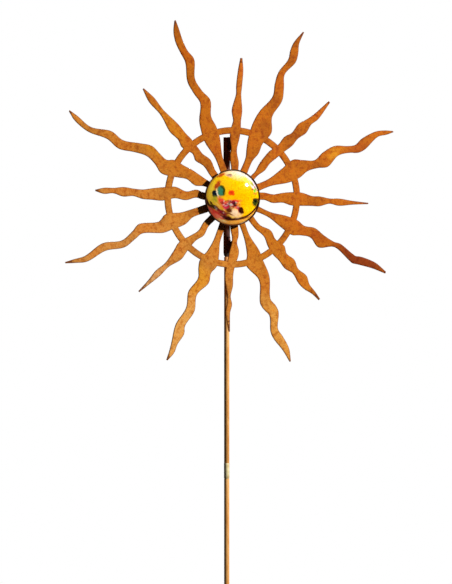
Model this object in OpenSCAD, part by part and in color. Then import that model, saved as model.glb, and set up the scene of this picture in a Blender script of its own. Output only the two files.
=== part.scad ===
// Garden sun spinner: a flat steel sun with a glass centre, which swivels on a ground stake.
// Millimetres. The stake's axis is Z, the ground is z = 0, and the sun faces -Y.

/* [Sun] */
// Reach of the longest ray from the centre of the sun
sun_reach = 277; // [231:1:332]
// Thickness of the steel sheet
sheet_t = 2; // [1.5:0.25:3]
// Radius of the hoop's middle line
hoop_r = 100; // [83:1:120]
// Width of the hoop's band
hoop_w = 10; // [6:0.5:14]
// Radius of the solid middle, behind the glass
hub_r = 32; // [26:1:34]

/* [Glass] */
// Diameter of the glass
glass_d = 80; // [74:1:96]
// Thickness of the glass at its edge
glass_edge = 4; // [3:0.5:6]
// Rise of the glass from its edge to its crown
glass_rise = 12; // [6:0.5:16]
// Gap between the glass and the wall of its cup
glass_gap = 1; // [0.5:0.25:2]
// Thickness of the cup's sheet
cup_t = 1; // [0.75:0.25:1.5]
// Depth of the cup inside
cup_depth = 8; // [7:0.5:10]
// Thickness of the silicone bed
bed_t = 3; // [2.75:0.25:4]
// Distance of the cup's centre to the left of the sun's centre
cup_shift = 2.5; // [0:0.5:4]

/* [Cup screw] */
// Diameter of the screw's shank
screw_d = 4; // [3:1:5]
// Length of the screw under its head
screw_len = 10; // [9:1:16]

/* [Swivel] */
// Distance from the stake's axis to the back of the sun
sun_gap = 35; // [25:1:45]
// Outer diameter of the swivel tube
tube_d = 10; // [9.5:0.5:12]
// Bore of the swivel tube
tube_bore = 8; // [7:0.5:8.5]
// Length of the swivel tube
tube_len = 175; // [146:1:210]
// Distance from the centre of the sun up to the top of the tube
tube_top = 91; // [80:1:94]
// Length of each bush inside the tube
bush_len = 15; // [10:1:25]
// Height of the collar under the tube
bush_collar = 4.5; // [3:0.5:8]
// Radial running clearance of the spindle in its bushes
run_gap = 0.06; // [0.03:0.01:0.1]
// Thickness of the plug in the top of the tube
plug_len = 8; // [6:1:12]
// Diameter of the pivot ball
ball_d = 5; // [4:0.5:5.5]

/* [Brackets] */
// Thickness of the bracket plates
bracket_t = 3; // [2:0.5:4]
// Height of the arm that reaches the sun
arm_h = 19; // [12:1:22]
// Height of the upper bracket against the tube
upper_leg = 36; // [28:1:45]
// Height of the lower bracket against the tube
lower_leg = 25; // [24:1:45]
// Depth of a bracket's leg in front of the tube
leg_w = 11; // [8:1:16]
// Radius in the corner between arm and leg
corner_r = 4; // [2:0.5:5]

/* [Stake] */
// Diameter of the bars
bar_d = 8; // [7.5:0.5:10]
// Distance from one joint of the stake to the next
section = 500; // [417:1:600]
// Length of the lowest section that is pushed into the ground
ground_depth = 250; // [208:1:300]
// Length of the point
point_len = 30; // [20:1:40]
// Length of the top bar up to its shoulder
top_bar = 315; // [263:1:378]
// Height of the collar between two bars
collar_h = 24; // [16:1:32]
// Step from a bar out to the collar
collar_lip = 0.2; // [0.1:0.1:1]
// Diameter of the spindle and of the joints' spigots
spindle_d = 6; // [5:0.5:6.5]
// Length of each spigot
spigot_len = 20; // [15:1:30]
// Radial clearance of a spigot that slides into its bar
slip_gap = 0.1; // [0.05:0.05:0.25]
// Gap between the top bar's shoulder and the swivel's collar
shoulder_gap = 1.5; // [1:0.5:3]

/* [Hidden] */
$fn = 96;

// The rays, anticlockwise from the right. Each is its direction in degrees and its
// stations: [distance from the centre, sway to the left, width], one at each turn of the wave.
drawn_reach = 277;
RAYS = [
    [21.6, [[20, 0, 13], [60, 0, 11], [89, 1, 24], [108, 4, 29], [123, 3, 18], [140, -1, 13],
        [156, 0, 23], [177, 6, 16], [196, 1, 11], [209, -3, 13], [222, 0, 17], [247, 6, 9],
        [262, 3, 7], [274, 0, 2]]],
    [43.5, [[20, 1, 12], [50, 1, 7], [64, 2, 13], [76, 4, 13], [89, 4, 15], [105, 2, 14],
        [121, 2, 18], [134, 1, 13], [150, 1, 18], [164, 1, 11], [178, -1, 10], [209, 1, 3]]],
    [66.5, [[20, 0, 14], [60, 0, 11], [76, 0, 20], [92, 2, 24], [113, 0, 32], [135, 3, 21],
        [163, -4, 16], [183, 1, 15], [201, 5, 10], [224, -2, 12], [238, 0, 13], [252, 2, 8],
        [271, -1, 2]]],
    [86.4, [[20, 0, 12], [44, 0, 11], [53, 1, 13], [64, 3, 11], [73, 3, 9], [90, 3, 15],
        [104, 2, 15], [114, 1, 12], [130, 2, 16], [154, 1, 8], [166, 1, 9], [190, 0, 8],
        [208, 0, 3]]],
    [109.1, [[20, 0, 13], [62, 1, 11], [92, 2, 24], [108, 2, 24], [125, 2, 19], [148, -6, 16],
        [165, 0, 13], [185, 4, 12], [212, -3, 14], [228, 1, 11], [244, 3, 11], [260, 2, 9],
        [275, -1, 2]]],
    [130.5, [[20, 0, 12], [48, 0, 11], [65, -3, 14], [80, 1, 15], [89, -1, 12], [107, 2, 19],
        [119, 1, 15], [137, 2, 17], [158, 1, 10], [168, 1, 8], [190, 1, 10], [210, 0, 2]]],
    [153, [[20, 0, 12], [46, 0, 10], [60, 2, 17], [75, 0, 16], [89, 2, 20], [105, 4, 26],
        [116, 7, 21], [128, 2, 17], [145, -3, 17], [163, 1, 15], [187, 8, 14], [209, 4, 13],
        [238, 10, 8], [263, 5, 8], [277, 0, 2]]],
    [177.1, [[20, 0, 12], [46, 0, 11], [57, -3, 12], [72, 1, 13], [89, -3, 17], [107, 0, 20],
        [124, 1, 17], [138, 2, 14], [152, 0, 11], [167, 0, 14], [182, -1, 8], [196, 0, 9],
        [209, 0, 2]]],
    [201.1, [[20, 0, 12], [46, 0, 12], [68, -1, 12], [83, 1, 19], [105, -2, 25], [119, 1, 18],
        [148, -8, 15], [161, -3, 12], [181, 3, 11], [209, -3, 12], [240, 3, 9], [257, 0, 6],
        [271, -3, 2]]],
    [224.5, [[20, 1, 12], [56, -1, 10], [72, 3, 11], [85, 0, 11], [105, -2, 18], [121, 1, 17],
        [142, 0, 8], [160, -1, 10], [178, -1, 6], [200, -2, 2]]],
    [247.1, [[20, 0, 12], [67, 2, 10], [88, 4, 19], [104, 3, 28], [117, 2, 21], [132, 6, 18],
        [155, -2, 14], [179, 4, 14], [205, -1, 14], [216, 1, 17], [234, 1, 10], [248, 2, 8],
        [262, 0, 2]]],
    [268.4, [[20, 0, 12], [50, 4, 12], [58, 5, 10], [67, 4, 8], [82, 4, 15], [104, -1, 13],
        [116, -3, 13], [132, -2, 11], [148, -2, 5], [160, -1, 8], [172, -3, 7], [184, -2, 5],
        [201, 0, 2]]],
    [290.1, [[20, 0, 12], [60, 0, 9], [88, 1, 20], [103, -2, 27], [131, 4, 17], [163, -6, 17],
        [175, -3, 19], [187, 0, 15], [210, -8, 12], [223, -6, 14], [244, -1, 10], [264, -1, 2]]],
    [311, [[20, 3, 12], [57, 0, 9], [76, 5, 14], [91, 1, 16], [107, 2, 22], [119, 0, 16],
        [134, 1, 20], [148, 1, 11], [165, 1, 17], [178, -1, 11], [192, 1, 6], [206, 1, 3]]],
    [334.8, [[20, 0, 12], [60, 1, 8], [87, 1, 19], [107, 0, 24], [119, 1, 16], [136, 5, 16],
        [154, -1, 20], [173, 3, 8], [183, 4, 9], [213, -4, 12], [221, -2, 13], [246, 1, 10],
        [268, -1, 3]]],
    [357.6, [[20, 2, 12], [48, 4, 11], [62, 1, 13], [78, 3, 15], [91, 2, 20], [107, 2, 20],
        [124, 0, 15], [136, 0, 15], [152, 1, 8], [167, 0, 11], [188, 0, 6], [214, 0, 2]]]
];
ray_step = 5;

// Heights along the stake
low_joint_z = section - ground_depth;
high_joint_z = low_joint_z + section;
shoulder_z = high_joint_z + collar_h / 2 + top_bar;
tube_foot_z = shoulder_z + shoulder_gap + bush_collar;
tube_top_z = tube_foot_z + tube_len;
sun_z = tube_top_z - tube_top;
plug_z = tube_top_z - plug_len;

// Depths in front of the stake's axis
sun_back_y = -sun_gap;
sun_front_y = sun_back_y - sheet_t;
cup_floor_y = sun_front_y - cup_t;
bed_front_y = cup_floor_y - bed_t;

cup_r = glass_d / 2 + glass_gap + cup_t;
hole_r = screw_d / 2 + 0.15;
head_r = screw_d;
head_h = 0.6 * screw_d;
washer_r = 1.1 * screw_d;
washer_t = 0.2 * screw_d;
nut_af = 1.75 * screw_d;
nut_h = 0.8 * screw_d;
spindle_r = spindle_d / 2;
ball_r = ball_d / 2;
ball_seat_gap = 0.05;
end_gap = 1;
ball_z = plug_z - end_gap / 2;
spindle_top_z = plug_z - end_gap;
bore_floor_gap = 1;
bush_plug_gap = 3;

// Slope of column k of the stations p at station i, from its neighbours
function slope(p, i, k) =
    let (a = p[max(i - 1, 0)], b = p[min(i + 1, len(p) - 1)]) (b[k] - a[k]) / (b[0] - a[0]);

// The station before distance d
function before(p, d, i = 0) = i >= len(p) - 2 || d <= p[i + 1][0] ? i : before(p, d, i + 1);

// Column k of the stations p at distance d, on a smooth cubic through all of them
function along(p, d, k) =
    let (
        i = before(p, d),
        h = p[i + 1][0] - p[i][0],
        t = (d - p[i][0]) / h
    )
    (2 * t ^ 3 - 3 * t ^ 2 + 1) * p[i][k] + (t ^ 3 - 2 * t ^ 2 + t) * h * slope(p, i, k)
    + (3 * t ^ 2 - 2 * t ^ 3) * p[i + 1][k] + (t ^ 3 - t ^ 2) * h * slope(p, i + 1, k);

// One edge of a ray, from the hub out to the tip: side is 1 for the left edge, -1 for the right
function edge(p, side) =
    let (
        first = p[0][0],
        last = p[len(p) - 1][0],
        n = ceil((last - first) / ray_step)
    )
    [for (i = [0:n]) let (d = first + (last - first) * i / n)
        [d, along(p, d, 1) + side * along(p, d, 2) / 2]];

function reversed(p) = [for (i = [len(p) - 1:-1:0]) p[i]];

module ray_outline(p) {
    polygon(concat(edge(p, -1), reversed(edge(p, 1))));
}

// Turns a flat outline to stand upright facing -Y, on the sun's centre line, its back at y
module upright(y, t) {
    translate([0, y, sun_z])
        rotate([90, 0, 0])
            linear_extrude(t) children();
}

// Puts a solid made along +Z on the cup's centre line, starting at y and reaching towards -Y
module facing(y) {
    translate([-cup_shift, y, sun_z])
        rotate([90, 0, 0]) children();
}

module sun_wheel() {
    color("#c4691c")
        difference() {
            upright(sun_back_y, sheet_t) {
                difference() {
                    circle(r = hoop_r + hoop_w / 2);
                    circle(r = hoop_r - hoop_w / 2);
                }
                circle(r = hub_r);
                for (ray = RAYS)
                    rotate(ray[0])
                        scale(sun_reach / drawn_reach) ray_outline(ray[1]);
            }
            facing(sun_back_y + 1) cylinder(r = hole_r, h = sheet_t + 2);
        }
}

// Pressed cup: a round floor with a hole and a plain wall
module glass_cup() {
    color("#3a2418")
        facing(sun_front_y)
            difference() {
                cylinder(r = cup_r, h = cup_t + cup_depth);
                translate([0, 0, cup_t]) cylinder(r = cup_r - cup_t, h = cup_depth + 1);
                translate([0, 0, -1]) cylinder(r = hole_r, h = cup_t + 2);
            }
}

// Silicone between the cup and the glass, with the screw's head sunk in it
module silicone_bed() {
    color("#d9d4c4")
        facing(cup_floor_y)
            difference() {
                cylinder(r = cup_r - cup_t, h = bed_t);
                translate([0, 0, -1]) cylinder(r = head_r, h = head_h + 1);
            }
}

// Glass: a disc under a spherical crown
module glass_dome() {
    r = glass_d / 2;
    sphere_r = (r ^ 2 + glass_rise ^ 2) / (2 * glass_rise);
    color("#e8a010")
        facing(bed_front_y) {
            cylinder(r = r, h = glass_edge);
            intersection() {
                translate([0, 0, glass_edge + glass_rise - sphere_r]) sphere(r = sphere_r);
                translate([0, 0, glass_edge]) cylinder(r = r, h = glass_rise + 1);
            }
        }
}

module cup_screw() {
    color("silver")
        facing(cup_floor_y) {
            cylinder(r = head_r, h = head_h);
            translate([0, 0, -screw_len]) cylinder(r = screw_d / 2, h = screw_len + head_h / 2);
        }
}

module cup_washer() {
    color("silver")
        facing(sun_back_y + washer_t)
            difference() {
                cylinder(r = washer_r, h = washer_t);
                translate([0, 0, -1]) cylinder(r = hole_r, h = washer_t + 2);
            }
}

module cup_nut() {
    color("silver")
        facing(sun_back_y + washer_t + nut_h)
            difference() {
                cylinder(d = nut_af / cos(30), h = nut_h, $fn = 6);
                translate([0, 0, -1]) cylinder(r = screw_d / 2, h = nut_h + 2);
            }
}

module swivel_tube() {
    color("#2b1a12")
        translate([0, 0, tube_foot_z])
            difference() {
                cylinder(d = tube_d, h = tube_len);
                translate([0, 0, -1]) cylinder(d = tube_bore, h = tube_len + 2);
            }
}

// Closes the tube and rests on the pivot ball through a round seat
module top_plug() {
    color("#2b1a12")
        difference() {
            translate([0, 0, plug_z]) cylinder(d = tube_bore, h = plug_len);
            translate([0, 0, ball_z]) sphere(r = ball_r + ball_seat_gap);
        }
}

module bush_body(z, h) {
    translate([0, 0, z])
        difference() {
            cylinder(d = tube_bore, h = h);
            translate([0, 0, -1]) cylinder(r = spindle_r + run_gap, h = h + 2);
        }
}

module upper_bush() {
    color("#1c1a18") bush_body(plug_z - bush_plug_gap - bush_len, bush_len);
}

// Has a tapered collar that closes the tube's lower end
module lower_bush() {
    color("#1c1a18") {
        bush_body(tube_foot_z, bush_len);
        translate([0, 0, tube_foot_z - bush_collar])
            difference() {
                cylinder(d1 = (tube_d + spindle_d) / 2, d2 = tube_d, h = bush_collar);
                translate([0, 0, -1]) cylinder(r = spindle_r + run_gap, h = bush_collar + 2);
            }
    }
}

// Plate from the tube to the sun: an arm with a leg along the tube. Its outline is drawn
// [forward, up] from the outer end of the tube, the leg runs downwards
module bracket_outline(leg) {
    front = sun_gap;
    leg_front = tube_d / 2 + leg_w;
    difference() {
        union() {
            translate([0, -arm_h]) square([front, arm_h]);
            translate([0, -leg]) square([leg_front, leg]);
            translate([0, -arm_h - corner_r]) square([leg_front + corner_r, corner_r * 2]);
        }
        translate([leg_front + corner_r, -arm_h - corner_r]) circle(r = corner_r);
    }
}

module bracket(leg) {
    difference() {
        rotate([90, 0, -90])
            translate([0, 0, -bracket_t / 2])
                linear_extrude(bracket_t) bracket_outline(leg);
        translate([0, 0, -leg - 1]) cylinder(d = tube_d, h = leg + 2);
        translate([-tube_d, 0, -leg - 1]) cube([2 * tube_d, tube_d, leg + 2]);
    }
}

module upper_bracket() {
    color("#33201a") translate([0, 0, tube_top_z]) bracket(upper_leg);
}

module lower_bracket() {
    color("#33201a") translate([0, 0, tube_foot_z]) mirror([0, 0, 1]) bracket(lower_leg);
}

module pivot_ball() {
    color("silver") translate([0, 0, ball_z]) sphere(r = ball_r);
}

// Hardened pin that the head turns on; its cupped end holds the ball
module spindle() {
    color("#8a8782")
        difference() {
            translate([0, 0, shoulder_z - spigot_len])
                cylinder(r = spindle_r, h = spindle_top_z - shoulder_z + spigot_len);
            translate([0, 0, ball_z]) sphere(r = ball_r);
        }
}

// Plain bar between two heights, drilled for a spigot at each end
module bar(z0, z1, gap0, gap1) {
    depth = spigot_len + bore_floor_gap;
    difference() {
        translate([0, 0, z0]) cylinder(d = bar_d, h = z1 - z0);
        translate([0, 0, z0 - 1]) cylinder(r = spindle_r + gap0, h = depth + 1);
        translate([0, 0, z1 - depth]) cylinder(r = spindle_r + gap1, h = depth + 1);
    }
}

// Collar between two bars, with a spigot pressed into the upper one
module joint_piece(z) {
    translate([0, 0, z - collar_h / 2]) cylinder(d = bar_d + 2 * collar_lip, h = collar_h);
    translate([0, 0, z - collar_h / 2 - spigot_len])
        cylinder(r = spindle_r, h = collar_h + 2 * spigot_len);
}

module upper_bar() {
    color("#b5763a") bar(high_joint_z + collar_h / 2, shoulder_z, 0, 0);
}

module upper_joint() {
    color("#cfc7a0") joint_piece(high_joint_z);
}

module middle_bar() {
    color("#b5763a")
        bar(low_joint_z + collar_h / 2, high_joint_z - collar_h / 2, 0, slip_gap);
}

module lower_joint() {
    color("#cfc7a0") joint_piece(low_joint_z);
}

// Pointed at its lower end and drilled at the top
module ground_bar() {
    top = low_joint_z - collar_h / 2;
    depth = spigot_len + bore_floor_gap;
    color("#b5763a")
        difference() {
            union() {
                translate([0, 0, -ground_depth + point_len])
                    cylinder(d = bar_d, h = top + ground_depth - point_len);
                translate([0, 0, -ground_depth])
                    cylinder(d1 = 1, d2 = bar_d, h = point_len);
            }
            translate([0, 0, top - depth]) cylinder(r = spindle_r + slip_gap, h = depth + 1);
        }
}

sun_wheel();
glass_cup();
silicone_bed();
glass_dome();
cup_screw();
cup_washer();
cup_nut();
swivel_tube();
top_plug();
upper_bush();
lower_bush();
upper_bracket();
lower_bracket();
pivot_ball();
spindle();
upper_bar();
upper_joint();
middle_bar();
lower_joint();
ground_bar();
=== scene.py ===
"""Garden sun spinner: a rusted steel sun with a glass centre that swivels on a jointed stake."""
import math

import bmesh
import bpy
import numpy as np
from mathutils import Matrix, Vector
from mathutils.geometry import delaunay_2d_cdt


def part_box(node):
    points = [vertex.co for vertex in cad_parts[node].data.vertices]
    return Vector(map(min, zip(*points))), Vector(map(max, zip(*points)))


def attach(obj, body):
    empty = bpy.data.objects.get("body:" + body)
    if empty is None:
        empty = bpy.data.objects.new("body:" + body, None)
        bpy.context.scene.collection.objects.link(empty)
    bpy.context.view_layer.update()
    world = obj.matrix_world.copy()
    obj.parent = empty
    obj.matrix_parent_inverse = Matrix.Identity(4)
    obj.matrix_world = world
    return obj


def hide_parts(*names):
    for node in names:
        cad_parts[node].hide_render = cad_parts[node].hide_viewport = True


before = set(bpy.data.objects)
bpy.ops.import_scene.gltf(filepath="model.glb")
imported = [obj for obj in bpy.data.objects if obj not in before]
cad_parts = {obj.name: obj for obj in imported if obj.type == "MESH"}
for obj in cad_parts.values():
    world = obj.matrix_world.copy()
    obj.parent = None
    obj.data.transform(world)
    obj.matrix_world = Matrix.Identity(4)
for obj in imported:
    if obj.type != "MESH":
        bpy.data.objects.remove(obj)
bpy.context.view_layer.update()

# ---------------------------------------------------------------------------
# Ground bar: drawn mild steel bar, forged to a point at its lower end and drilled
# at the top for the spigot of the joint. It is left bare, so it has rusted all over.


def level(node, top):
    """The highest or lowest level of a CAD node, in millimetres."""
    return 1000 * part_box(node)[1 if top else 0].z


def eased(profile, ease):
    """The profile with each inner corner p cut back by the distance ease along both its sides
    to a and b, and one point between them at half p and a quarter of a and of b."""
    p = np.array(profile, float)
    back, on = p[:-2] - p[1:-1], p[2:] - p[1:-1]
    lb, lo = np.linalg.norm(back, axis=1), np.linalg.norm(on, axis=1)
    e = np.minimum(ease, 0.45 * np.minimum(lb, lo))[:, None]
    a, b = p[1:-1] + back / lb[:, None] * e, p[1:-1] + on / lo[:, None] * e
    corner = np.stack([a, 0.5 * p[1:-1] + 0.25 * (a + b), b], 1)
    return np.vstack([p[:1], corner.reshape(-1, 2), p[-1:]])


def make_piece(name, points, faces, crease=35, facts=None):
    """A mesh object from points in metres and faces, with its doubles merged, its faces turned
    outwards and smooth shading up to the crease angle. Facts are named values, one a point."""
    mesh = bpy.data.meshes.new(name)
    mesh.from_pydata(points, [], faces)
    for key, values in (facts or {}).items():
        mesh.attributes.new(key, "FLOAT", "POINT").data.foreach_set("value", values)
    shape = bmesh.new()
    shape.from_mesh(mesh)
    bmesh.ops.remove_doubles(shape, verts=shape.verts, dist=2e-7)
    bmesh.ops.recalc_face_normals(shape, faces=shape.faces)
    shape.to_mesh(mesh)
    shape.free()
    mesh.polygons.foreach_set("use_smooth", np.ones(len(mesh.polygons), bool))
    mesh.set_sharp_from_angle(angle=math.radians(crease))
    piece = bpy.data.objects.new(name, mesh)
    bpy.context.scene.collection.objects.link(piece)
    return piece


def ring_quads(rows, columns):
    """The quads of a grid whose last column joins its first: point (i, j), its neighbour in
    the row, and the two in the next row."""
    i, j = np.meshgrid(np.arange(rows - 1), np.arange(columns), indexing="ij")
    k = (j + 1) % columns
    quads = [i * columns + j, i * columns + k, (i + 1) * columns + k, (i + 1) * columns + j]
    return np.stack(quads, -1).reshape(-1, 4).tolist()


def turned(name, profile, around=48):
    """A solid turned about the stake's axis: x = r cos a, y = r sin a, z = h for each radius r
    and height h of the profile, in mm, and each angle a. The profile's ends meet the axis."""
    p = np.asarray(profile, float) / 1000
    a = np.linspace(0, 2 * math.pi, around, endpoint=False)
    grid = np.stack([p[:, :1] * np.cos(a), p[:, :1] * np.sin(a), p[:, 1:] + 0 * a], -1)
    return make_piece(name, grid.reshape(-1, 3), ring_quads(len(p), around))


def linear(code):
    """An sRGB hex colour as linear RGBA."""
    c = np.array([int(code[i:i + 2], 16) for i in (1, 3, 5)]) / 255
    return [*np.where(c <= 0.04045, c / 12.92, ((c + 0.055) / 1.055) ** 2.4), 1.0]


def add(material, kind, inputs=None, stops=None, **settings):
    """Adds one shader node. An input gets a value, or a link where the value is a socket;
    stops are the places and colours of a colour ramp."""
    made = material.node_tree.nodes.new("ShaderNode" + kind)
    for key, value in settings.items():
        setattr(made, key, value)
    for number, (place, colour) in enumerate(stops or ()):
        ramp = made.color_ramp.elements
        element = ramp[number] if number < len(ramp) else ramp.new(place)
        element.position, element.color = place, linear(colour)
    for key, value in (inputs or {}).items():
        if isinstance(value, bpy.types.NodeSocket):
            material.node_tree.links.new(value, made.inputs[key])
        else:
            made.inputs[key].default_value = value
    return made


def empty_material(name):
    """A new node material with nothing in it."""
    material = bpy.data.materials.new(name)
    material.use_nodes = True
    material.node_tree.nodes.clear()
    return material


def finish_material(material, shader):
    """Joins the shader to the material's output."""
    add(material, "OutputMaterial", {"Surface": shader.outputs[0]})


def per_mm(size):
    """The scale of a noise whose features are this many millimetres across."""
    return 1000 / size


def dress(piece, material, slot, body, *replaced):
    """Gives a piece its material, and says what it rides on and which CAD nodes it replaces."""
    piece.data.materials.clear()
    piece.data.materials.append(material)
    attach(piece, body)
    if replaced:
        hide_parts(*replaced)


# Drawn mild steel bar, rusted outdoors: a dull tan-orange oxide, mottled over a few
# millimetres and drawn out along the bar, with a fine dark grain.
BAR_RUST = empty_material("Drawn mild steel bar, rusted")
m = BAR_RUST
here = add(m, "TexCoord").outputs["Object"]
drawn = add(m, "Mapping", {"Vector": here, "Scale": (1, 1, 0.2)}).outputs[0]
cloud = add(m, "TexNoise", {"Vector": drawn, "Scale": per_mm(12), "Detail": 4.0}).outputs[0]
mottle = add(m, "TexNoise", {"Vector": drawn, "Scale": per_mm(3), "Detail": 5.0}).outputs[0]
grain = add(m, "TexNoise", {"Vector": here, "Scale": per_mm(0.9), "Detail": 3.0}).outputs[0]
base = add(m, "ValToRGB", {"Fac": mottle}, [
    (0.3, "#c47c38"), (0.45, "#dc9a50"), (0.58, "#e8ac64"), (0.75, "#f2c080")]).outputs[0]
tint = add(m, "ValToRGB", {"Fac": cloud}, [
    (0.35, "#d08a42"), (0.55, "#e6a85e"), (0.7, "#efba78")]).outputs[0]
base = add(m, "Mix", {0: 0.45, 6: base, 7: tint}, data_type="RGBA").outputs[2]
fleck = add(m, "ValToRGB", {"Fac": grain}, [(0.32, "#b8a08c"), (0.5, "#ffffff")]).outputs[0]
base = add(m, "Mix", {0: 0.5, 6: base, 7: fleck}, data_type="RGBA",
           blend_type="MULTIPLY").outputs[2]
rough = add(m, "MapRange", {0: mottle, 1: 0.3, 2: 0.7, 3: 0.7, 4: 0.5}).outputs[0]
relief = add(m, "Math", {0: mottle, 1: grain}, operation="ADD").outputs[0]
relief = add(m, "Bump", {"Strength": 0.4, "Distance": 0.0002, "Height": relief}).outputs[0]
finish_material(m, add(m, "BsdfPrincipled", {
    "Base Color": base, "Roughness": rough, "Normal": relief, "IOR": 1.5,
    "Specular IOR Level": 0.2}))

BAR_R = 1000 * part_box("middle_bar")[1].x
PIN_R = 1000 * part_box("spindle")[1].x
SLIDE_R = PIN_R + 0.1
BORE = 21
POINT = 30
BAR_EASE = 0.4

foot, head = level("ground_bar", False), level("ground_bar", True)
profile = [(0, foot), (0.5, foot), (BAR_R, foot + POINT), (BAR_R, head), (SLIDE_R, head),
           (SLIDE_R, head - BORE), (0, head - BORE)]
dress(turned("pointed_bar", eased(profile, BAR_EASE)), BAR_RUST, "rusted_bar", "stake",
      "ground_bar")

# ---------------------------------------------------------------------------
# Middle and upper bars: the same drawn bar, drilled at both ends. The joint's spigot
# slides into the top of the middle bar and is pressed into the others.


def drilled_bar(name, node, low_bore, high_bore):
    """A bar of a CAD node's length with a blind bore of its own radius at each end."""
    low, high = level(node, False), level(node, True)
    profile = [(0, low + BORE), (low_bore, low + BORE), (low_bore, low), (BAR_R, low),
               (BAR_R, high), (high_bore, high), (high_bore, high - BORE), (0, high - BORE)]
    dress(turned(name, eased(profile, BAR_EASE)), BAR_RUST, "rusted_bar", "stake", node)


drilled_bar("long_bar", "middle_bar", PIN_R, SLIDE_R)
drilled_bar("top_bar", "upper_bar", PIN_R, PIN_R)

# ---------------------------------------------------------------------------
# Joints between the bars: turned steel collars with a spigot at each end, zinc plated
# and passivated, which gives a pale greenish yellow that stays clean where the bars rust.
COLLAR_R = 1000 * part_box("lower_joint")[1].x
SPIGOT = 20

# Zinc plate with yellow passivation: a satin metal, uneven in tint.
ZINC = empty_material("Turned steel, zinc plated and passivated")
m = ZINC
here = add(m, "TexCoord").outputs["Object"]
rings = add(m, "Mapping", {"Vector": here, "Scale": (0.1, 0.1, 1)}).outputs[0]
lines = add(m, "TexNoise", {"Vector": rings, "Scale": per_mm(0.5), "Detail": 2.0}).outputs[0]
cloud = add(m, "TexNoise", {"Vector": here, "Scale": per_mm(6), "Detail": 4.0}).outputs[0]
base = add(m, "ValToRGB", {"Fac": cloud}, [
    (0.3, "#cdb078"), (0.48, "#ecd8a0"), (0.62, "#f4e4b0"), (0.78, "#e6dcb0")]).outputs[0]
rough = add(m, "MapRange", {0: lines, 1: 0.3, 2: 0.7, 3: 0.34, 4: 0.5}).outputs[0]
relief = add(m, "Bump", {"Strength": 0.2, "Distance": 0.0001, "Height": lines}).outputs[0]
finish_material(m, add(m, "BsdfPrincipled", {
    "Base Color": base, "Roughness": rough, "Normal": relief, "Metallic": 0.15}))

for name, node in (("lower_collar", "lower_joint"), ("upper_collar", "upper_joint")):
    low, high = level(node, False), level(node, True)
    profile = [(0, low), (PIN_R, low), (PIN_R, low + SPIGOT), (COLLAR_R, low + SPIGOT),
               (COLLAR_R, high - SPIGOT), (PIN_R, high - SPIGOT), (PIN_R, high), (0, high)]
    dress(turned(name, eased(profile, 0.5)), ZINC, "zinc_steel", "stake", node)

# ---------------------------------------------------------------------------
# Spindle and pivot ball: a ground steel pin pressed into the top bar, with a bearing
# ball in its cupped end, which carries the whole head.

# Ground bearing steel: bright, with very fine lines round the pin and a film of grease.
BRIGHT = empty_material("Ground bearing steel")
m = BRIGHT
here = add(m, "TexCoord").outputs["Object"]
rings = add(m, "Mapping", {"Vector": here, "Scale": (0.1, 0.1, 1)}).outputs[0]
lines = add(m, "TexNoise", {"Vector": rings, "Scale": per_mm(0.4), "Detail": 3.0}).outputs[0]
film = add(m, "TexNoise", {"Vector": here, "Scale": per_mm(4), "Detail": 3.0}).outputs[0]
base = add(m, "ValToRGB", {"Fac": film}, [(0.35, "#8d8a84"), (0.65, "#b9b7b2")]).outputs[0]
rough = add(m, "MapRange", {0: lines, 1: 0.3, 2: 0.7, 3: 0.18, 4: 0.32}).outputs[0]
relief = add(m, "Bump", {"Strength": 0.15, "Distance": 0.00005, "Height": lines}).outputs[0]
finish_material(m, add(m, "BsdfPrincipled", {
    "Base Color": base, "Roughness": rough, "Normal": relief, "Metallic": 1.0}))
for node in ("spindle", "pivot_ball"):
    dress(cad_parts[node], BRIGHT, "bearing_steel", "stake")

# ---------------------------------------------------------------------------
# Bushes: black nylon, machined, pushed into the tube's two ends. The lower one has a
# tapered collar that closes the tube.

# Machined nylon: near black and satin, with faint tool rings.
NYLON = empty_material("Black nylon, machined")
m = NYLON
here = add(m, "TexCoord").outputs["Object"]
rings = add(m, "Mapping", {"Vector": here, "Scale": (0.1, 0.1, 1)}).outputs[0]
lines = add(m, "TexNoise", {"Vector": rings, "Scale": per_mm(0.6), "Detail": 2.0}).outputs[0]
base = add(m, "ValToRGB", {"Fac": lines}, [(0.3, "#141211"), (0.7, "#282422")]).outputs[0]
rough = add(m, "MapRange", {0: lines, 1: 0.3, 2: 0.7, 3: 0.45, 4: 0.6}).outputs[0]
relief = add(m, "Bump", {"Strength": 0.2, "Distance": 0.0001, "Height": lines}).outputs[0]
finish_material(m, add(m, "BsdfPrincipled", {
    "Base Color": base, "Roughness": rough, "Normal": relief, "IOR": 1.53}))
for node in ("upper_bush", "lower_bush"):
    dress(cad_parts[node], NYLON, "nylon", "head")

# ---------------------------------------------------------------------------
# Swivel tube and its plug: seamless steel tube, blackened and oiled before welding, with
# a steel plug in its top that rests on the ball.
TUBE_R = 1000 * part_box("swivel_tube")[1].x
BORE_R = 1000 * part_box("top_plug")[1].x
TUBE_FOOT, TUBE_TOP = level("swivel_tube", False), level("swivel_tube", True)

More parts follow.
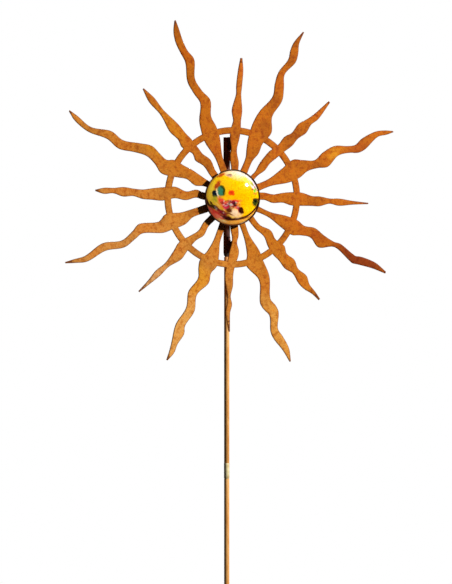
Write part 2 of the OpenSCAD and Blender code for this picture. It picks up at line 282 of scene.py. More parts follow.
# Blackened steel: a thin brown-black oxide, satin where it is oiled, with rust bloom
# breaking through in small patches.
BLACK = empty_material("Mild steel, blackened and welded")
m = BLACK
here = add(m, "TexCoord").outputs["Object"]
cloud = add(m, "TexNoise", {"Vector": here, "Scale": per_mm(11), "Detail": 5.0}).outputs[0]
grain = add(m, "TexNoise", {"Vector": here, "Scale": per_mm(1), "Detail": 3.0}).outputs[0]
base = add(m, "ValToRGB", {"Fac": cloud}, [
    (0.3, "#2c140c"), (0.5, "#4c2216"), (0.62, "#6c3620"), (0.75, "#94502a")]).outputs[0]
fleck = add(m, "ValToRGB", {"Fac": grain}, [(0.3, "#8c7d72"), (0.55, "#ffffff")]).outputs[0]
base = add(m, "Mix", {0: 0.6, 6: base, 7: fleck}, data_type="RGBA",
           blend_type="MULTIPLY").outputs[2]
rough = add(m, "MapRange", {0: cloud, 1: 0.3, 2: 0.7, 3: 0.42, 4: 0.7}).outputs[0]
relief = add(m, "Math", {0: cloud, 1: grain}, operation="ADD").outputs[0]
relief = add(m, "Bump", {"Strength": 0.35, "Distance": 0.0002, "Height": relief}).outputs[0]
finish_material(m, add(m, "BsdfPrincipled", {
    "Base Color": base, "Roughness": rough, "Normal": relief, "Metallic": 0.2}))

profile = [(BORE_R, TUBE_FOOT), (TUBE_R, TUBE_FOOT), (TUBE_R, TUBE_TOP), (BORE_R, TUBE_TOP)]
profile = eased([(BORE_R, TUBE_FOOT + 1), *profile, (BORE_R, TUBE_TOP - 1)], 0.3)
tube = turned("swivel_sleeve", np.vstack([profile, profile[:1]]))
dress(tube, BLACK, "dark_steel", "head", "swivel_tube")
dress(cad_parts["top_plug"], BLACK, "dark_steel", "head")

# ---------------------------------------------------------------------------
# Brackets: two plates cut from steel strip, each with a leg welded along the front of
# the tube and an arm welded to the back of the sun.


def eased_copy(name, node, ease):
    """A copy of a CAD node with its doubles merged, its flat faces joined and its edges
    rounded by a live bevel."""
    piece = bpy.data.objects.new(name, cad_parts[node].data.copy())
    bpy.context.scene.collection.objects.link(piece)
    shape = bmesh.new()
    shape.from_mesh(piece.data)
    bmesh.ops.remove_doubles(shape, verts=shape.verts, dist=1e-6)
    bmesh.ops.dissolve_limit(shape, angle_limit=0.01, verts=shape.verts, edges=shape.edges)
    shape.to_mesh(piece.data)
    shape.free()
    bevel = piece.modifiers.new("eased edges", "BEVEL")
    bevel.width, bevel.segments, bevel.angle_limit = ease / 1000, 2, math.radians(30)
    return piece


for name, node in (("upper_plate", "upper_bracket"), ("lower_plate", "lower_bracket")):
    dress(eased_copy(name, node, 0.35), BLACK, "dark_steel", "head", node)

# ---------------------------------------------------------------------------
# Welds: a fillet of weld metal on each side of each plate, along its leg on the tube and its
# arm on the sun, laid by hand in overlapping ripples and left as laid.
SUN_BACK = 1000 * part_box("sun_wheel")[1].y
ARM_H = 19
BEAD_R = 1.3
BEAD_SUNK = 0.3
BEAD_OUT = 0.2
BEAD_SHORT = 1
RIPPLE = 2.2
RING = 14
BEAD_STEPS = 60


def fillet(x, y, low, high, phase):
    """A bead along Z: x and y of the corner plus r cos a and r sin a for each angle a, where
    r = 1.3 mm by 1 + 0.14 |sin(pi z / ripple + phase)|, drawn in to nothing at both ends."""
    z = np.linspace(low, high, BEAD_STEPS)[:, None]
    a = np.linspace(0, 2 * math.pi, RING, endpoint=False)
    near = np.clip(np.minimum(z - low, high - z) / BEAD_R, 0, 1)
    r = BEAD_R * (1 + 0.14 * np.abs(np.sin(math.pi * z / RIPPLE + phase)))
    r = r * np.sqrt(1 - (1 - near) ** 2)
    return np.stack([x + r * np.cos(a), y + r * np.sin(a), z + 0 * a], -1).reshape(-1, 3)


points, faces = [], []
for node, arm_on_top in (("upper_bracket", True), ("lower_bracket", False)):
    side = 1000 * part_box(node)[1].x + BEAD_OUT
    front = -math.sqrt(TUBE_R ** 2 - side ** 2) - BEAD_SUNK
    low, high = level(node, False), level(node, True)
    arm = (high - ARM_H, high) if arm_on_top else (low, low + ARM_H)
    for x, y, span in ((side, front, (low, high)), (-side, front, (low, high)),
                       (side, SUN_BACK + BEAD_SUNK, arm), (-side, SUN_BACK + BEAD_SUNK, arm)):
        first = BEAD_STEPS * RING * len(points)
        faces += [[c + first for c in quad] for quad in ring_quads(BEAD_STEPS, RING)]
        points.append(fillet(x, y, span[0] + BEAD_SHORT, span[1] - BEAD_SHORT, x))
welds = make_piece("weld_beads", np.vstack(points) / 1000, faces, 50)
dress(welds, BLACK, "dark_steel", "head")

# ---------------------------------------------------------------------------
# Sun: sheet steel cut by laser in one piece, hub, hoop and sixteen wavy rays, flattened by
# hand and rusted. Its cut edges keep a dark oxide and the long rays aren't quite flat.
SUN_Z = (level("glass_dome", False) + level("glass_dome", True)) / 2
SUN_FRONT = 1000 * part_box("sun_wheel")[0].y
CORNER = 33
OUTLINE_STEP = 1.7
INNER_STEP = 3.0
ROW_STEP = INNER_STEP * 0.866
CLEAR_OF_EDGE = 1.4
SHEET_EASE = 0.3
DOUBLINGS = 12
BATCH = 400


def front_outline(node):
    """The outline of a CAD node's front face as (x, z) in mm from the sun's centre, loop after
    loop with the metal on the left, and the number of points in each loop. A side that only
    one triangle has is on the outline. Each point finds the lowest point of its loop and its
    number of steps to it by doubling its stride in every round."""
    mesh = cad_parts[node].data
    co = np.empty(3 * len(mesh.vertices))
    mesh.vertices.foreach_get("co", co)
    co = 1000 * co.reshape(-1, 3)
    corners = np.empty(len(mesh.loops), int)
    mesh.loops.foreach_get("vertex_index", corners)
    flat, same = np.unique(np.round(co[:, [0, 2]] - [0, SUN_Z], 3), axis=0,
                           return_inverse=True)
    tri = corners.reshape(-1, 3)
    tri = same.ravel()[tri[(co[tri][:, :, 1] < co[:, 1].min() + 0.01).all(1)]]
    sides = np.vstack([tri[:, [0, 1]], tri[:, [1, 2]], tri[:, [2, 0]]])
    rim = sides[~np.isin(sides @ [len(flat), 1], sides @ [1, len(flat)])]
    ids, rim = np.unique(rim, return_inverse=True)
    rim = rim.reshape(-1, 2)
    after = np.empty(len(ids), int)
    after[rim[:, 0]] = rim[:, 1]
    start, jump = np.arange(len(ids)), after.copy()
    for _ in range(DOUBLINGS):
        start, jump = np.minimum(start, start[jump]), jump[jump]
    here = np.arange(len(ids))
    steps, jump = (here != start).astype(int), np.where(here == start, here, after)
    for _ in range(DOUBLINGS):
        steps, jump = steps + steps[jump], jump[jump]
    return flat[ids][np.lexsort((-steps, start))], np.unique(start, return_counts=True)[1]


def redrawn(p):
    """A closed outline redrawn on cubics through its points, one step apart. A point's tangent
    is the mean of its two sides by length, or each side's own at a sharp corner. Points that
    end a side under 0.7 mm are dropped unless they are the sharper end."""
    def sides(p):
        on = np.roll(p, -1, 0) - p
        length = np.linalg.norm(on, axis=1)
        unit = on / length[:, None]
        turn = np.degrees(np.arccos(np.clip((unit * np.roll(unit, 1, 0)).sum(1), -1, 1)))
        return unit, length, turn
    unit, length, turn = sides(p)
    short = length < 0.7
    blunt_first = turn < np.roll(turn, -1)
    drop = (short & blunt_first) | (np.roll(short & ~blunt_first, 1))
    p = p[~drop]
    unit, length, turn = sides(p)
    before = np.roll(unit, 1, 0)
    mean = unit * np.roll(length, 1)[:, None] + before * length[:, None]
    mean /= np.linalg.norm(mean, axis=1)[:, None]
    sharp = (turn > CORNER)[:, None]
    leave, arrive = np.where(sharp, unit, mean), np.roll(np.where(sharp, before, mean), -1, 0)
    parts = np.maximum(1, np.ceil(length / OUTLINE_STEP)).astype(int)
    k = np.repeat(np.arange(len(p)), parts)
    t = (np.arange(len(k)) - np.repeat(np.cumsum(parts) - parts, parts)) / parts[k]
    t, l = t[:, None], length[k][:, None]
    q = np.roll(p, -1, 0)
    return ((2 * t**3 - 3 * t**2 + 1) * p[k] + (t**3 - 2 * t**2 + t) * l * leave[k]
            + (3 * t**2 - 2 * t**3) * q[k] + (t**3 - t**2) * l * arrive[k])


def inward(p):
    """The step into the metal for each point of a closed outline that moves both its sides in
    by 1: the sum of their two normals over 1 plus their product."""
    on = np.roll(p, -1, 0) - p
    n = np.stack([-on[:, 1], on[:, 0]], 1) / np.linalg.norm(on, axis=1)[:, None]
    m = np.roll(n, 1, 0)
    return (n + m) / np.maximum(1 + (n * m).sum(1), 0.5)[:, None]


def nearest(points, outline, normals):
    """Each point's distance to the nearest outline point, negative outside the metal."""
    found = []
    for some in np.array_split(points, max(1, len(points) // BATCH)):
        apart = some[:, None] - outline[None]
        d2 = (apart ** 2).sum(-1)
        k = d2.argmin(1)
        inside = ((some - outline[k]) * normals[k]).sum(1) > 0
        found.append(np.where(inside, 1, -1) * np.sqrt(d2.min(1)))
    return np.concatenate(found)


def in_metal(points, start, end):
    """Whether each point is inside the outline: a line from it to the right crosses the
    outline's sides an odd number of times."""
    found = []
    rise = np.where(end[:, 1] == start[:, 1], 1, end[:, 1] - start[:, 1])
    for some in np.array_split(points, max(1, len(points) // BATCH)):
        px, pz = some[:, :1], some[:, 1:]
        spans = (start[:, 1] > pz) != (end[:, 1] > pz)
        cross = start[:, 0] + (pz - start[:, 1]) / rise * (end[:, 0] - start[:, 0])
        found.append((spans & (cross > px)).sum(1) % 2 == 1)
    return np.concatenate(found)


points, counts = front_outline("sun_wheel")
loops = [redrawn(p) for p in np.split(points, np.cumsum(counts)[:-1])]
rim = np.vstack(loops)
inner = np.vstack([inward(p) for p in loops])
size = len(rim)
after = np.concatenate([np.roll(np.arange(len(p)), -1) + n for p, n in
                        zip(loops, np.cumsum([0] + [len(p) for p in loops]))])

# Points inside the metal, on a grid of triangles
reach = np.abs(rim).max() + INNER_STEP
u, v = np.meshgrid(np.arange(-reach, reach, INNER_STEP),
                   np.arange(-reach, reach, ROW_STEP))
u = u + INNER_STEP / 2 * (np.arange(len(u)) % 2)[:, None]
field = np.stack([u.ravel(), v.ravel()], 1)
depth = nearest(field, rim, inner)
field, depth = field[depth > CLEAR_OF_EDGE], depth[depth > CLEAR_OF_EDGE]

# The face: a triangulation held to the rounded edge's inner line
edge_line = rim + inner * SHEET_EASE
face_points = np.vstack([edge_line, field])
tri = np.array(delaunay_2d_cdt([Vector(p) for p in face_points], list(enumerate(after.tolist())),
                               [], 1, 1e-6)[2])
tri = tri[in_metal(face_points[tri].mean(1), rim, rim[after])]

# Rings round the cut edge, from the front face's line over both eased corners to the back's
THICK = SUN_BACK - SUN_FRONT
e = SHEET_EASE
rings = [(e, 0), (0.3 * e, 0.3 * e), (0, e), (0, THICK - e), (0.3 * e, THICK - 0.3 * e),
         (e, THICK)]
flat = np.vstack([rim + inner * step for step, _ in rings] + [field, field])
deep = np.concatenate([np.full(size, d) for _, d in rings]
                      + [np.zeros(len(field)), np.full(len(field), THICK)])
from_edge = np.concatenate([np.full(size, step) for step, _ in rings] + [depth, depth])
last = size * (len(rings) - 1)
front = np.where(tri < size, tri, tri + last)
back = np.where(tri < size, tri + last, tri + last + len(field))[:, ::-1]
i = np.arange(size) + size * np.arange(len(rings) - 1)[:, None]
j = after + size * np.arange(len(rings) - 1)[:, None]
walls = np.stack([i, j, j + size, i + size], -1).reshape(-1, 4)

# How far each ray leans forward at its tip, in mm, and how much it twists, in degrees, from
# the ray on the right anticlockwise
LEAN = np.array([1.2, -1.5, 0.6, 1.8, -0.8, 1.4, -1.2, 0.9, 0.4, 1.6, -1.0, 0.8, -1.6, 1.1, 0.5,
                 2.4])
TWIST = np.array([2, -3, 2, 3, -2, 3, -3, 2, 3, -2, 2, 3, -2, -3, 2, -4])
HOOP_EDGE = 106
BEND_LENGTH = 150
RAY_TURN = 22.5
x, z = flat.T
far = np.hypot(x, z)
turn = np.arctan2(z, x)
ray = np.floor((np.degrees(turn) + 12.5) / RAY_TURN).astype(int) % len(LEAN)
out = np.clip((far - HOOP_EDGE) / BEND_LENGTH, 0, 1.3)
across = far * np.sin(turn - np.radians(RAY_TURN * ray - 1))
twisted = np.radians(TWIST[ray]) * across * np.minimum(1, 2 * out)
y = SUN_FRONT + deep - LEAN[ray] * out**2 + twisted

sun = make_piece("sun_sheet", np.stack([x, y, z + SUN_Z], 1) / 1000,
                 walls.tolist() + front.tolist() + back.tolist(), 50, {"cut_edge": from_edge})


def blot(material, place, spot, start, end, most):
    """How much of a blot each place has. A spot is its centre, half length and half width, in mm,
    and its turn in degrees. The amount goes from nought to most as the distance from the centre,
    over the half length and half width, goes from start to end."""
    x, z, long, wide, angle = spot
    place = add(material, "Mapping", {
        "Vector": place, "Location": (x / 1000, 0, z / 1000),
        "Rotation": (0, -math.radians(angle), 0),
        "Scale": (long / 1000, 1, wide / 1000)}, vector_type="TEXTURE").outputs[0]
    away = add(material, "VectorMath", {0: place}, operation="LENGTH").outputs["Value"]
    return add(material, "MapRange", {0: away, 1: start, 2: end, 3: 0.0, 4: most}).outputs[0]


# Rusted sheet steel: an orange oxide, lighter and more ochre towards the lower left, with ochre
# patches that are partly painted highlight and dark red-brown ones that are partly painted shade,
# dark along the laser-cut edges, with fine grain and pits.
RUST = empty_material("Sheet steel, laser cut and rusted")
m = RUST
here = add(m, "TexCoord").outputs["Object"]
here = add(m, "Mapping", {"Vector": here, "Location": (0, 0, -SUN_Z / 1000)}).outputs[0]
# The sheet is lighter and more ochre towards the lower left.
slant = add(m, "VectorMath", {0: here, 1: (-0.7, 0, -0.7)}, operation="DOT_PRODUCT")
slant = add(m, "MapRange", {0: slant.outputs["Value"], 1: -0.14, 2: 0.16}).outputs[0]
base = add(m, "ValToRGB", {"Fac": slant}, [
    (0.0, "#c66e04"), (0.4, "#c87208"), (0.57, "#d0801c"), (0.77, "#de9238"),
    (1.0, "#e29c4c")]).outputs[0]
cloud = add(m, "TexNoise", {"Vector": here, "Scale": per_mm(38), "Detail": 3.0}).outputs[0]
shade = add(m, "ValToRGB", {"Fac": cloud}, [
    (0.3, "#c8c0b8"), (0.5, "#ffffff"), (0.7, "#ffe6c0")]).outputs[0]
base = add(m, "Mix", {0: 0.75, 6: base, 7: shade}, data_type="RGBA",
           blend_type="MULTIPLY").outputs[2]
# Patches on the rays: the ochre and yellow ones are partly rust tone and partly painted highlight
# where the rays bend past the hoop, the dark red-brown ones partly rust tone and partly painted
# shade.
PATCHES = [
    # x, z, half length, half width, turn, colour, strength
    (-95, 109, 34, 13, 130, "#d98a10", 0.75),
    (-121, 71, 16, 9, 150, "#d9920f", 0.6),
    (160, 65, 16, 10, 30, "#e09a1c", 0.7),
    (196, 75, 22, 10, 20, "#a84a08", 0.6),
    (138, -70, 16, 9, -20, "#dc9418", 0.6),
    (200, -92, 52, 24, -24, "#903a08", 0.95),
    (132, -62, 30, 14, -24, "#b85408", 0.6),
    (76, -200, 70, 24, -70, "#f0aa4c", 0.95),
    (51, -132, 24, 12, -70, "#d68022", 0.8),
    (-84, -192, 66, 26, 67, "#f0b05c", 0.95),
    (-52, -124, 26, 14, 67, "#eca028", 0.85),
    (-136, -132, 40, 18, 44, "#ecb67c", 0.9),
    (-56, -112, 26, 12, -112, "#d8921c", 0.5),
    (115, 215, 55, 16, 66, "#a9500a", 0.55),
    (-40, 160, 30, 12, 109, "#d07a18", 0.5),
]
warp = add(m, "TexNoise", {"Vector": here, "Scale": per_mm(16), "Detail": 3.0}).outputs["Color"]
warp = add(m, "VectorMath", {0: warp, 1: (0.5, 0.5, 0.5)}, operation="SUBTRACT").outputs[0]
warp = add(m, "VectorMath", {0: warp, "Scale": 0.03}, operation="SCALE").outputs[0]
loose = add(m, "VectorMath", {0: here, 1: warp}, operation="ADD").outputs[0]
for *spot, colour, strength in PATCHES:
    amount = blot(m, loose, spot, 1.25, 0.45, strength)
    base = add(m, "Mix", {0: amount, 6: base, 7: linear(colour)}, data_type="RGBA").outputs[2]
mottle = add(m, "TexNoise", {"Vector": here, "Scale": per_mm(6), "Detail": 6.0,
                             "Roughness": 0.7}).outputs[0]
shade = add(m, "ValToRGB", {"Fac": mottle}, [
    (0.34, "#c89c60"), (0.45, "#f0d8b0"), (0.54, "#ffffff"), (0.66, "#ffdc90")]).outputs[0]
base = add(m, "Mix", {0: 0.9, 6: base, 7: shade}, data_type="RGBA",
           blend_type="MULTIPLY").outputs[2]
grain = add(m, "TexNoise", {"Vector": here, "Scale": per_mm(1.3), "Detail": 3.0}).outputs[0]
shade = add(m, "ValToRGB", {"Fac": grain}, [(0.3, "#a58b78"), (0.5, "#ffffff")]).outputs[0]
base = add(m, "Mix", {0: 0.5, 6: base, 7: shade}, data_type="RGBA",
           blend_type="MULTIPLY").outputs[2]
edge = add(m, "Attribute", attribute_name="cut_edge").outputs["Fac"]
ragged = add(m, "Math", {0: grain, 1: 1.2, 2: -0.6}, operation="MULTIPLY_ADD").outputs[0]
edge = add(m, "Math", {0: edge, 1: ragged}, operation="ADD").outputs[0]
edge = add(m, "MapRange", {0: edge, 1: 0.3, 2: 1.5, 3: 0.85, 4: 0.0}).outputs[0]
base = add(m, "Mix", {0: edge, 6: base, 7: linear("#6a3008")}, data_type="RGBA").outputs[2]
rough = add(m, "MapRange", {0: mottle, 1: 0.3, 2: 0.7, 3: 0.75, 4: 0.55}).outputs[0]
relief = add(m, "Math", {0: mottle, 1: grain}, operation="ADD").outputs[0]
relief = add(m, "Bump", {"Strength": 0.4, "Distance": 0.0003, "Height": relief}).outputs[0]
finish_material(m, add(m, "BsdfPrincipled", {
    "Base Color": base, "Roughness": rough, "Normal": relief, "IOR": 1.5,
    "Specular IOR Level": 0.12}))
dress(sun, RUST, "rusted_sheet", "head", "sun_wheel")

# ---------------------------------------------------------------------------
# Screw, washer and nut: turned and zinc-plated steel. They hold the cup to the sun through its
# centre, with the screw's head sunk in the silicone and the nut behind the sheet.
for node in ("cup_screw", "cup_washer", "cup_nut"):
    dress(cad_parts[node], ZINC, "zinc_steel", "head")

# ---------------------------------------------------------------------------
# Cup: thin sheet steel pressed to a shallow tray with a rounded floor corner and a
# plain rim, baked to a dark brown, screwed to the front of the sun.


def turned_forward(name, profile, around=96):
    """A solid turned about the cup's axis: x = the cup's centre + r cos a, z = the sun's centre +
    r sin a and y = d for each radius r and depth d of the profile, in mm, and each angle a."""
    p = np.asarray(profile, float) / 1000
    a = np.linspace(0, 2 * math.pi, around, endpoint=False)
    grid = np.stack([CUP_X / 1000 + p[:, :1] * np.cos(a), p[:, 1:] + 0 * a,
                     SUN_Z / 1000 + p[:, :1] * np.sin(a)], -1)
    return make_piece(name, grid.reshape(-1, 3), ring_quads(len(p), around))


CUP_LEFT, CUP_RIGHT = (1000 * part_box("glass_cup")[i].x for i in (0, 1))
CUP_X, CUP_R = (CUP_LEFT + CUP_RIGHT) / 2, (CUP_RIGHT - CUP_LEFT) / 2
CUP_RIM, CUP_BACK = (1000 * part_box("glass_cup")[i].y for i in (0, 1))
CUP_T = 1
CUP_HOLE = 2.15
CUP_CORNER = 2.5
turn = np.linspace(0, math.pi / 2, 7)[:, None]
middle = [CUP_R - CUP_CORNER, CUP_BACK - CUP_CORNER]
outer_bend = middle + CUP_CORNER * np.hstack([np.sin(turn), np.cos(turn)])
inner_bend = middle + (CUP_CORNER - CUP_T) * np.hstack([np.cos(turn), np.sin(turn)])
lip = [[CUP_R, CUP_RIM + 0.3], [CUP_R - 0.3, CUP_RIM], [CUP_R - 0.7, CUP_RIM],
       [CUP_R - CUP_T, CUP_RIM + 0.3]]
profile = np.vstack([[[CUP_HOLE, CUP_BACK]], outer_bend, lip, inner_bend,
                     [[CUP_HOLE, CUP_BACK - CUP_T]]])
cup = turned_forward("pressed_cup", np.vstack([profile, profile[:1]]))

# Pressed sheet, heat-browned: a thin red-brown scale.
BROWN = empty_material("Sheet steel, pressed and browned")
m = BROWN
here = add(m, "TexCoord").outputs["Object"]
cloud = add(m, "TexNoise", {"Vector": here, "Scale": per_mm(9), "Detail": 4.0}).outputs[0]
grain = add(m, "TexNoise", {"Vector": here, "Scale": per_mm(1.1), "Detail": 3.0}).outputs[0]
base = add(m, "ValToRGB", {"Fac": cloud}, [
    (0.3, "#2c1408"), (0.5, "#52280c"), (0.7, "#7c4416")]).outputs[0]
fleck = add(m, "ValToRGB", {"Fac": grain}, [(0.32, "#8c7d72"), (0.52, "#ffffff")]).outputs[0]
base = add(m, "Mix", {0: 0.6, 6: base, 7: fleck}, data_type="RGBA",
           blend_type="MULTIPLY").outputs[2]
rough = add(m, "MapRange", {0: cloud, 1: 0.3, 2: 0.7, 3: 0.5, 4: 0.7}).outputs[0]
relief = add(m, "Bump", {"Strength": 0.3, "Distance": 0.0002, "Height": grain}).outputs[0]
finish_material(m, add(m, "BsdfPrincipled", {
    "Base Color": base, "Roughness": rough, "Normal": relief, "IOR": 1.5,
    "Specular IOR Level": 0.2}))
dress(cup, BROWN, "cup_steel", "head", "glass_cup")

# ---------------------------------------------------------------------------
# Silicone bed: clear sealant between the cup and the glass, gone milky.
SILICONE = empty_material("Silicone sealant, cured")
m = SILICONE
here = add(m, "TexCoord").outputs["Object"]
cloud = add(m, "TexNoise", {"Vector": here, "Scale": per_mm(3), "Detail": 3.0}).outputs[0]
base = add(m, "ValToRGB", {"Fac": cloud}, [(0.3, "#8d7f68"), (0.7, "#c9bfa8")]).outputs[0]
rough = add(m, "MapRange", {0: cloud, 1: 0.3, 2: 0.7, 3: 0.3, 4: 0.5}).outputs[0]
relief = add(m, "Bump", {"Strength": 0.3, "Distance": 0.0003, "Height": cloud}).outputs[0]
finish_material(m, add(m, "BsdfPrincipled", {
    "Base Color": base, "Roughness": rough, "Normal": relief, "IOR": 1.41}))
dress(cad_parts["silicone_bed"], SILICONE, "silicone", "head")

# ---------------------------------------------------------------------------
# Glass: a fused dome with a fire-polished edge. Chips and threads of coloured glass are
# melted into yellow glass under a clear layer, so they run and blend at their edges. Some of
# the marks among them are painted light, and the glass has a faint painted glow.
GLASS_R = 1000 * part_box("glass_dome")[1].x - CUP_X
GLASS_CROWN, GLASS_BACK = (1000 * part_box("glass_dome")[i].y for i in (0, 1))
GLASS_EDGE = 4
RISE = GLASS_BACK - GLASS_EDGE - GLASS_CROWN
BALL = (GLASS_R**2 + RISE**2) / (2 * RISE)
r = np.append(GLASS_R * np.sin(np.linspace(0, math.pi / 2, 40)) * 0.97, 0)[:-1]
dome = np.stack([r, GLASS_CROWN + BALL - np.sqrt(BALL**2 - r**2)], 1)
t = np.linspace(0, 1, 10)[1:, None]
pull = np.array([GLASS_R, GLASS_BACK - GLASS_EDGE + 0.2])
shoulder = np.array([GLASS_R, GLASS_BACK - GLASS_EDGE + 1.8])
melted = (1 - t)**2 * dome[-1] + 2 * t * (1 - t) * pull + t**2 * shoulder
profile = np.vstack([dome, melted, [[GLASS_R, GLASS_BACK - 1], [GLASS_R - 0.5, GLASS_BACK - 0.2],
                                  [GLASS_R - 1.2, GLASS_BACK], [0, GLASS_BACK]]])
glass = turned_forward("fused_glass", profile, 128)

GLASS = empty_material("Art glass, fused and fire polished")
m = GLASS
here = add(m, "TexCoord").outputs["Object"]
here = add(m, "Mapping", {"Vector": here, "Location": (0, 0, -SUN_Z / 1000)}).outputs[0]
fold = add(m, "TexNoise", {"Vector": here, "Scale": per_mm(5), "Detail": 4.0}).outputs["Color"]
fold = add(m, "VectorMath", {0: fold, 1: (0.5, 0.5, 0.5)}, operation="SUBTRACT").outputs[0]
fold = add(m, "VectorMath", {0: fold, "Scale": 0.0045}, operation="SCALE").outputs[0]
loose = add(m, "VectorMath", {0: here, 1: fold}, operation="ADD").outputs[0]
cloud = add(m, "TexNoise", {"Vector": loose, "Scale": per_mm(15), "Detail": 3.0}).outputs[0]
base = add(m, "ValToRGB", {"Fac": cloud}, [
    (0.3, "#f0a400"), (0.5, "#fab800"), (0.7, "#fcc610")]).outputs[0]
CHIPS_AND_PAINTED_LIGHT = [
    # x, z, half length, half width, turn, colour, softness: below nought colours the outside
    # The two pale yellow chips on the left are partly painted light: they brighten the side of
    # the dome that the lamp leaves dim.
    (-30, 8, 30, 18, 90, "#ffc818", 0.7),
    (-38, 4, 26, 7, 90, "#ffd038", 0.6),
    (10, 2, 18, 14, 0, "#f8aa00", 0.8),
    # The cream and lavender-white patches at the top and right rim are partly milky glass and
    # partly painted reflection of the lamp and the bright surroundings.
    (9, 39, 25, 9, -12, "#f8e4c8", 0.7),
    (27, 28, 12, 7, -52, "#f4e4e0", 0.7),
    (29, 19, 9, 3.8, -65, "#e4dce8", 0.4),
    (26, 21, 5, 1.6, -50, "#98b040", 0.4),
    (30.5, 15, 3, 1, -70, "#7c6474", 0.4),
    (30.5, 10.5, 4.2, 2.4, 60, "#7cb82c", 0.4),
    (26.5, 12, 2, 1, 0, "#8c4030", 0.4),
    (31, 5.5, 3.4, 1.5, 0, "#b87820", 0.5),
    (16.5, 25.5, 7, 3.2, -30, "#dce048", 0.6),
    (-9, 33, 5, 2.2, 0, "#c09c88", 0.4),
    (-8, 33.5, 2, 1, 0, "#7c5c4c", 0.4),
    (-21, 33.5, 6.2, 1.8, 25, "#c45414", 0.35),
    (-27.5, 18.5, 7.6, 2.8, 56, "#b84a14", 0.3),
    (-21.8, 10.5, 8, 5, 98, "#38480c", 0.2),
    (-24.2, 9, 7, 3.9, 98, "#3a866a", 0.2),
    (-32, 5.5, 5.6, 3.8, 100, "#101c2c", 0.2),
    (-28.3, 6.5, 6.4, 1.1, 101, "#f4ecd0", 0.3),
    (-31.5, -3, 5, 3.8, 100, "#bcb428", 0.5),
    (-9.6, 7.2, 2.8, 4.1, 0, "#e6500e", 0.15),
    (-6.2, 7, 2.8, 4, 0, "#e6500e", 0.15),
    (-7.8, 7.2, 2.4, 2.2, 0, "#cc3410", 0.5),
    (-22, -7, 9, 4.6, -60, "#f8583c", 0.3),
    (-27, -12, 9, 1.2, -52, "#ffc050", 0.4),
    (-24, -9, 9, 0.7, -57, "#ffb040", 0.4),
    # Two rings that colour the lower rim: a painted shadow line in the gap between glass and cup,
    # and below it a painted image of the lit cup wall seen through the glass's edge.
    (-2, 10.8, 41.9, 41.9, 0, "#44180a", -0.014),
    (-2, 10.8, 44.8, 44.8, 0, "#ffac44", -0.01),
    (6, -31, 17, 1.8, 9, "#5c2c10", 0.5),
    (-29, -24.5, 11, 5, -37, "#ec4838", 0.35),
    (-37, -17.5, 5, 2, -55, "#e06048", 0.4),
    (-34.5, -13.5, 6.4, 1.8, -35, "#48300c", 0.35),
    (-36.5, -8.5, 4, 0.9, -60, "#5c3c0c", 0.4),
    (-29, -15.5, 8, 0.7, -42, "#3c1c0c", 0.35),
    (-26, -18, 12, 1.7, -42, "#3c0c10", 0.4),
    (-20, -22.5, 9.5, 3, -32, "#8c1428", 0.4),
    (-14, -30, 12, 3, -14, "#3c100c", 0.4),
    (-25, -28.5, 8, 2.8, -28, "#ff7c5c", 0.4),
    (-20, -34, 7, 1.8, -22, "#ffd080", 0.4),
    (-15, -13, 4.8, 6, 10, "#dc3454", 0.35),
    (-15.5, -12, 2.2, 1, 30, "#ffe4d8", 0.4),
    (-5, -5.5, 11.5, 2.2, 4, "#d43c30", 0.4),
    (-6, -8.5, 6, 2.8, 0, "#4a1028", 0.35),
    (-4, -12, 5.4, 2.2, 0, "#302c18", 0.35),
    (-8, -10.8, 2.8, 1.6, 0, "#f4fcec", 0.2),
    (-1.5, -22.5, 9.5, 5.8, -18, "#f8d4ac", 0.5),
    (-11, -19, 4.6, 3.6, 20, "#682c10", 0.35),
    (2.5, -15.5, 4.4, 1.6, -20, "#c42c4c", 0.4),
    (5, -18, 2.6, 4.6, 20, "#b02c38", 0.3),
    (8.2, -19.2, 5.8, 4, -62, "#401406", 0.2),
    (-12, -24, 8, 1.2, -15, "#8c4c20", 0.45),
    (36, -3.5, 3.4, 2.4, 0, "#6c3010", 0.4),
    (31, -6.5, 6.4, 5.2, 80, "#3c4810", 0.3),
    (31.5, -5, 3.4, 2.8, 80, "#14180c", 0.4),
]
for *spot, colour, soft in CHIPS_AND_PAINTED_LIGHT:
    amount = blot(m, here if soft < 0 else loose, spot, 1 + soft, 1 - soft, 1.0)
    base = add(m, "Mix", {0: amount, 6: base, 7: linear(colour)}, data_type="RGBA").outputs[2]

# Crushed glass strewn over three places: crumbs of crimson, near black, orange and white
crumb = add(m, "TexVoronoi", {"Vector": loose, "Scale": per_mm(2.6)}).outputs["Color"]
crumb = add(m, "SeparateColor", {0: crumb}).outputs[0]
strewn = add(m, "ValToRGB", {"Fac": crumb}, [
    (0.0, "#300818"), (0.3, "#c82440"), (0.5, "#f06c48"), (0.62, "#8c1830"), (0.82, "#3c1408"),
    (0.95, "#fce4d0")]).outputs[0]
for spot, most in (((-9, -10, 17, 6.5, -8), 0.6), ((-23, -21, 13, 6, -42), 0.25),
                   ((30, 17, 10, 4, -65), 0.25)):
    amount = blot(m, loose, spot, 1.1, 0.7, most)
    base = add(m, "Mix", {0: amount, 6: base, 7: strewn}, data_type="RGBA").outputs[2]
seed = add(m, "TexNoise", {"Vector": here, "Scale": per_mm(2.2), "Detail": 4.0}).outputs[0]
shade = add(m, "ValToRGB", {"Fac": seed}, [(0.3, "#d8bc98"), (0.52, "#ffffff")]).outputs[0]
base = add(m, "Mix", {0: 0.6, 6: base, 7: shade}, data_type="RGBA",
           blend_type="MULTIPLY").outputs[2]
relief = add(m, "TexNoise", {"Vector": here, "Scale": per_mm(14), "Detail": 1.0}).outputs[0]
relief = add(m, "Bump", {"Strength": 0.1, "Distance": 0.001, "Height": relief}).outputs[0]
rough = add(m, "MapRange", {0: seed, 1: 0.3, 2: 0.7, 3: 0.04, 4: 0.08}).outputs[0]
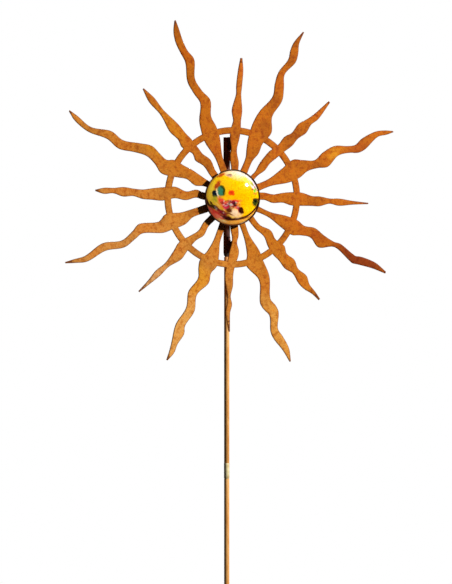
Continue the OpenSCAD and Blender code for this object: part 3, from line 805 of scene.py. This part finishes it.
# The glass also emits light of its own colour, a painted glow that brightens it all over as if
# lit through.
finish_material(m, add(m, "BsdfPrincipled", {
    "Base Color": base, "Roughness": rough, "Normal": relief, "IOR": 1.52,
    "Emission Color": base, "Emission Strength": 0.35, "Subsurface Weight": 1.0,
    "Subsurface Radius": (1.0, 1.0, 1.0), "Subsurface Scale": 0.016}))
dress(glass, GLASS, "art_glass", "head", "glass_dome")

# ---------------------------------------------------------------------------
# Studio: a plain pale floor under the point of the stake, which fades into the white
# surroundings, a lamp on the right, a soft one overhead and a soft one behind.
a = np.linspace(0, 2 * math.pi, 96, endpoint=False)
FLOOR_R = 0.8
FLOOR_Z = foot / 1000 - 0.001
edge = np.stack([FLOOR_R * np.cos(a), FLOOR_R * np.sin(a), FLOOR_Z + 0 * a], 1)
mesh = bpy.data.meshes.new("studio_floor")
mesh.from_pydata(edge, [], [list(range(len(edge)))])
floor = bpy.data.objects.new("studio_floor", mesh)
bpy.context.scene.collection.objects.link(floor)
PAPER = empty_material("Paper floor, matt")
m = PAPER
here = add(m, "TexCoord").outputs["Object"]
fibre = add(m, "TexNoise", {"Vector": here, "Scale": per_mm(30), "Detail": 3.0}).outputs[0]
base = add(m, "ValToRGB", {"Fac": fibre}, [(0.3, "#e6e4e0"), (0.7, "#eeece8")]).outputs[0]
paper = add(m, "BsdfPrincipled", {"Base Color": base, "Roughness": 0.9}).outputs[0]
away = add(m, "VectorMath", {0: here}, operation="LENGTH").outputs["Value"]
fade = add(m, "MapRange", {0: away, 1: 0.35, 2: 0.95}, interpolation_type="SMOOTHSTEP").outputs[0]
fade = add(m, "MixShader", {0: fade, 1: paper, 2: add(m, "BsdfTransparent").outputs[0]})
finish_material(m, fade)
floor.data.materials.append(PAPER)

world = bpy.data.worlds.new("white studio")
world.use_nodes = True
bpy.context.scene.world = world
sky = world.node_tree
sky.nodes.clear()
eye = sky.nodes.new("ShaderNodeLightPath")
white, dim = sky.nodes.new("ShaderNodeBackground"), sky.nodes.new("ShaderNodeBackground")
white.inputs[0].default_value = dim.inputs[0].default_value = (1, 1, 1, 1)
white.inputs[1].default_value, dim.inputs[1].default_value = 1.0, 0.006
mixed, shown = sky.nodes.new("ShaderNodeMixShader"), sky.nodes.new("ShaderNodeOutputWorld")
sky.links.new(eye.outputs["Is Camera Ray"], mixed.inputs[0])
sky.links.new(dim.outputs[0], mixed.inputs[1])
sky.links.new(white.outputs[0], mixed.inputs[2])
sky.links.new(mixed.outputs[0], shown.inputs[0])

centre = Vector((0, SUN_FRONT / 1000, SUN_Z / 1000))
for name, azimuth, elevation, distance, width, power in (
        ("lamp_right", 52, 26, 3.0, 0.16, 167), ("lamp_over", 10, 68, 1.8, 0.6, 1.2),
        ("lamp_behind", 170, 20, 3.0, 1.2, 110)):
    light = bpy.data.lights.new(name, "AREA")
    light.size, light.energy = width, power
    lamp = bpy.data.objects.new(name, light)
    bpy.context.scene.collection.objects.link(lamp)
    a, e = math.radians(azimuth), math.radians(elevation)
    back = Vector((math.sin(a) * math.cos(e), -math.cos(a) * math.cos(e), math.sin(e)))
    lamp.location = centre + distance * back
    lamp.rotation_mode = "QUATERNION"
    lamp.rotation_quaternion = back.to_track_quat("Z", "Y")

# ---------------------------------------------------------------------------
# Camera: at the height of the sun's centre, a little to the left of its axis, tipped down so
# that more of the stake shows.
CAMERA_TURN = -15
CAMERA_DOWN = 3.244
CAMERA_AWAY = 2.529
STAKE_OFFSET = -0.0011
LENS = 102.7
lens = bpy.data.cameras.new("camera")
lens.lens, lens.clip_start, lens.clip_end = LENS, 0.05, 100
camera = bpy.data.objects.new("camera", lens)
bpy.context.scene.collection.objects.link(camera)
a, e = math.radians(CAMERA_TURN), math.radians(CAMERA_DOWN)
back, right = Vector((math.sin(a), -math.cos(a), 0)), Vector((math.cos(a), math.sin(a), 0))
camera.location = back * CAMERA_AWAY + right * STAKE_OFFSET + Vector((0, 0, SUN_Z / 1000))
camera.rotation_mode = "QUATERNION"
tipped = back * math.cos(e) + Vector((0, 0, math.sin(e)))
camera.rotation_quaternion = tipped.to_track_quat("Z", "Y")
bpy.context.scene.camera = camera
bpy.context.scene.view_settings.view_transform = "Standard"
